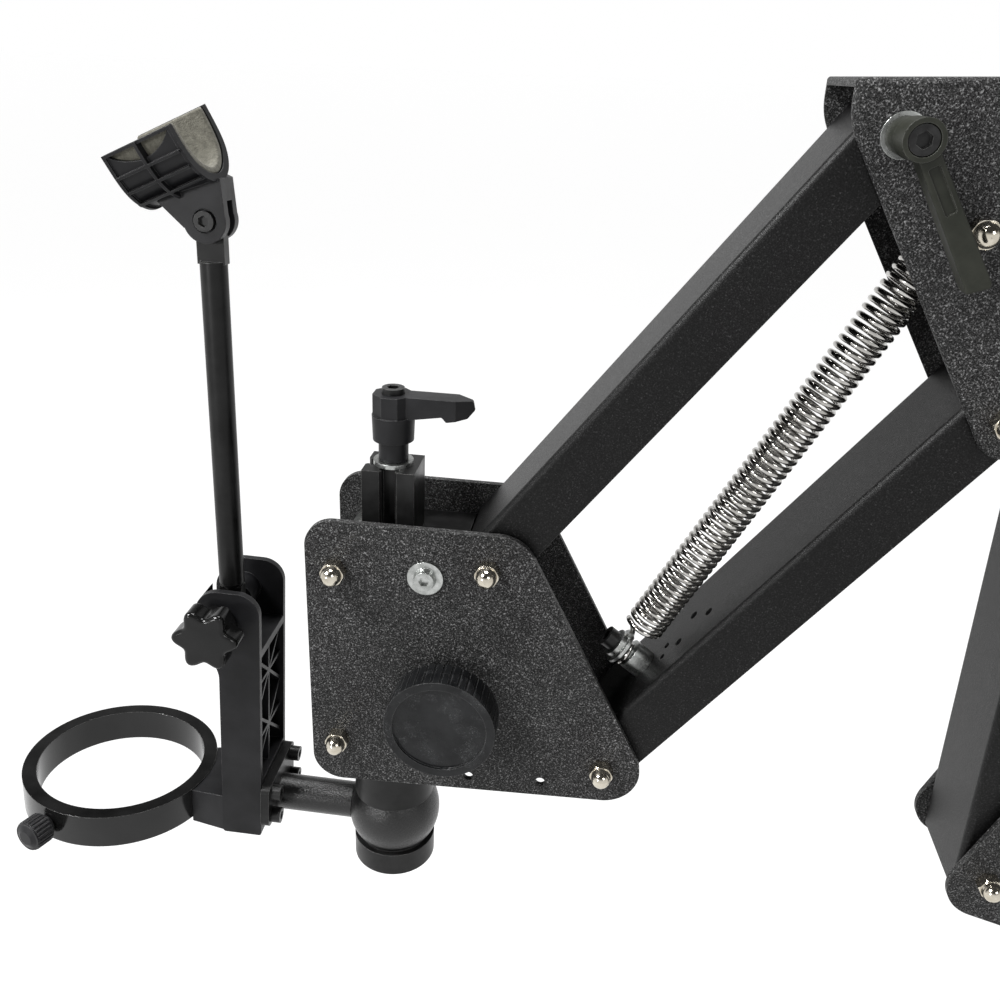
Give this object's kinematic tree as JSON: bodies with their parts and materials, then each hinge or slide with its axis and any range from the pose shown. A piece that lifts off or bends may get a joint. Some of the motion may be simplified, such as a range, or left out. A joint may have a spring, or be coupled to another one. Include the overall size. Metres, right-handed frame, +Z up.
{
  "type": "stereo microscope stand",
  "caption": "Bench-clamped microscope stand: sprung double parallelogram arm, rack focus head, ball-jointed boom with ring holder and padded rest cradle.",
  "frame": {"origin": "centre of the bench clamp's upper jaw, on the face that rests on the bench, on the swivel axis", "axes": "+Z up along the swivel axis; the arm reaches out along -X; +Y across the arm"},
  "size_m": [0.6043, 0.1187, 0.6538],
  "materials": {
    "powder_coat": "fine textured black powder coat",
    "black_anodised": "satin black anodised",
    "ball_black": "semi-gloss black enamel",
    "ring_black": "gloss black anodised",
    "nickel": "bright nickel plate",
    "zinc": "zinc plate",
    "steel": "turned steel",
    "spring_chrome": "bright chrome",
    "black_oxide": "black oxide",
    "black_plastic": "satin black moulding",
    "gloss_plastic": "polished black moulding",
    "rod_black": "satin black",
    "lever_grey": "satin dark olive grey",
    "bush_bronze": "sintered bronze",
    "nylon": "black nylon",
    "foam": "matt foam"
  },
  "bodies": {
    "bench_clamp": {"clamp_body": "powder_coat", "swivel_bush": "bush_bronze"},
    "clamp_foot": {"clamp_foot": "steel"},
    "clamp_screw": {"clamp_screw": "steel"},
    "swivel": {"base_bracket": "powder_coat", "swivel_spindle": "steel", "base_bolts": "zinc", "base_nuts": "nickel", "base_spacers": "zinc"},
    "swivel_lock": {"swivel_lock_knob": "black_plastic"},
    "lower_front_link": {"lower_link_front": "powder_coat", "lower_front_sleeves": "zinc"},
    "lower_rear_link": {"lower_link_rear": "powder_coat", "lower_rear_sleeves": "zinc", "lower_spring_anchor": "zinc", "lower_arm_spring": "spring_chrome"},
    "elbow": {"elbow_bracket": "powder_coat", "elbow_bolts": "zinc", "elbow_nuts": "nickel", "elbow_spacers": "zinc"},
    "elbow_clamp_lever": {"elbow_lever": "lever_grey", "elbow_lever_screw": "black_oxide"},
    "upper_top_link": {"upper_link_top": "powder_coat", "upper_top_sleeves": "zinc"},
    "upper_bottom_link": {"upper_link_bottom": "powder_coat", "upper_bottom_sleeves": "zinc", "spring_anchor_screw": "black_oxide", "spring_anchor_collar": "zinc", "arm_spring": "spring_chrome"},
    "head": {"head_plate_near": "powder_coat", "head_plate_far": "powder_coat", "head_bolts": "zinc", "head_nuts": "nickel", "head_spacers": "zinc", "guide_block": "black_anodised", "block_screws": "zinc"},
    "focus_slide": {"slide_column": "black_anodised", "focus_rack": "steel", "ball_socket": "black_anodised", "draw_bolt": "zinc", "column_washer": "zinc"},
    "slide_clamp_lever": {"slide_lever": "black_plastic", "slide_lever_screw": "black_oxide"},
    "focus_pinion": {"pinion_shaft": "steel", "focus_knob_near": "black_plastic", "focus_knob_far": "black_plastic"},
    "ball_seat": {"ball_cup": "black_anodised", "cup_liner": "nylon"},
    "boom": {"clamp_ball": "ball_black", "boom_tube": "ball_black", "boom_flange": "black_anodised", "flange_screws": "black_oxide", "scope_bracket": "black_plastic", "scope_ring": "ring_black"},
    "ring_screw": {"ring_thumb_screw": "black_plastic"},
    "rod_knob": {"star_knob": "gloss_plastic"},
    "rest_rod": {"rest_rod": "rod_black"},
    "cradle": {"rest_cradle": "black_plastic", "cradle_pad": "foam", "cradle_screw": "black_oxide"}
  },
  "joints": [
    {"name": "base_swivel", "type": "hinge", "parent": "bench_clamp", "child": "swivel", "pos_m": [0, 0, 0.06], "axis": [0, 0, 1], "continuous": true},
    {"name": "swivel_lock_turn", "type": "hinge", "parent": "bench_clamp", "child": "swivel_lock", "pos_m": [0.02, 0, 0.06], "axis": [1, 0, 0], "range_deg": [0, 270]},
    {"name": "clamp_travel", "type": "slide", "parent": "bench_clamp", "child": "clamp_foot", "axis": [0, 0, 1], "range_m": [-0.012, 0.026]},
    {"name": "clamp_screw_turn", "type": "hinge", "parent": "clamp_foot", "child": "clamp_screw", "pos_m": [-0.004, 0, -0.1], "axis": [0, 0, 1], "range_deg": [-1440, 3120]},
    {"name": "lower_arm_lift", "type": "hinge", "parent": "swivel", "child": "lower_front_link", "pos_m": [-0.071, 0, 0.14816], "axis": [0, 1, 0], "range_deg": [-45, 5]},
    {"name": "elbow_level", "type": "hinge", "parent": "lower_front_link", "child": "elbow", "pos_m": [-0.0788, 0, 0.3781], "axis": [0, 1, 0], "range_deg": [-5, 45]},
    {"name": "lower_rear_follow", "type": "hinge", "parent": "swivel", "child": "lower_rear_link", "pos_m": [-0.0136, 0, 0.24046], "axis": [0, 1, 0], "range_deg": [-45, 5], "deforming": ["lower_arm_spring"]},
    {"name": "upper_arm_lift", "type": "hinge", "parent": "elbow", "child": "upper_top_link", "pos_m": [-0.17526, 0, 0.47037], "axis": [0, 1, 0], "range_deg": [-25, 55]},
    {"name": "upper_bottom_follow", "type": "hinge", "parent": "elbow", "child": "upper_bottom_link", "pos_m": [-0.11785, 0, 0.37113], "axis": [0, 1, 0], "range_deg": [-25, 55], "deforming": ["arm_spring"]},
    {"name": "head_level", "type": "hinge", "parent": "upper_top_link", "child": "head", "pos_m": [-0.31204, 0, 0.28608], "axis": [0, 1, 0], "range_deg": [-55, 25]},
    {"name": "elbow_lever_turn", "type": "hinge", "parent": "elbow", "child": "elbow_clamp_lever", "pos_m": [-0.17526, -0.04, 0.47037], "axis": [0, 1, 0], "range_deg": [-30, 110]},
    {"name": "focus_travel", "type": "slide", "parent": "head", "child": "focus_slide", "axis": [0, 0, 1], "range_m": [-0.03, 0.012]},
    {"name": "focus_turn", "type": "hinge", "parent": "head", "child": "focus_pinion", "pos_m": [-0.3285, 0, 0.216], "axis": [0, 1, 0], "range_deg": [-215.5, 86.5]},
    {"name": "slide_lever_turn", "type": "hinge", "parent": "focus_slide", "child": "slide_clamp_lever", "pos_m": [-0.3605, 0, 0.33], "axis": [0, 0, 1], "range_deg": [0, 110]},
    {"name": "ball_pan", "type": "hinge", "parent": "focus_slide", "child": "ball_seat", "pos_m": [-0.3605, 0, 0.124], "axis": [0, 0, 1], "range_deg": [-60, 60]},
    {"name": "ball_tilt", "type": "hinge", "parent": "ball_seat", "child": "boom", "pos_m": [-0.3605, 0, 0.124], "axis": [-0.0436, 0.9978, -0.0506], "range_deg": [-10, 7]},
    {"name": "ring_screw_turn", "type": "hinge", "parent": "boom", "child": "ring_screw", "pos_m": [-0.52554, -0.05539, 0.13324], "axis": [-0.3171, -0.9464, 0.0618], "range_deg": [0, 360]},
    {"name": "star_knob_turn", "type": "hinge", "parent": "boom", "child": "rod_knob", "pos_m": [-0.44145, -0.02575, 0.23919], "axis": [-0.0436, 0.9978, -0.0506], "range_deg": [0, 270]},
    {"name": "rest_rod_tilt", "type": "hinge", "parent": "boom", "child": "rest_rod", "pos_m": [-0.44267, 0.00218, 0.23777], "axis": [-0.0436, 0.9978, -0.0506], "range_deg": [-57, 20]},
    {"name": "cradle_tilt", "type": "hinge", "parent": "rest_rod", "child": "cradle", "pos_m": [-0.44257, 0.01149, 0.42114], "axis": [-0.0436, 0.9978, -0.0506], "range_deg": [-45, 35]}
  ],
  "couplings": [
    {"joint": "elbow_level", "follows": "lower_arm_lift", "ratio": -1},
    {"joint": "lower_rear_follow", "follows": "lower_arm_lift", "ratio": 1},
    {"joint": "upper_bottom_follow", "follows": "upper_arm_lift", "ratio": 1},
    {"joint": "head_level", "follows": "upper_arm_lift", "ratio": -1},
    {"joint": "focus_turn", "follows": "focus_travel", "rad_per_m": 125},
    {"joint": "clamp_screw_turn", "follows": "clamp_travel", "rad_per_m": 2094.4}
  ]
}
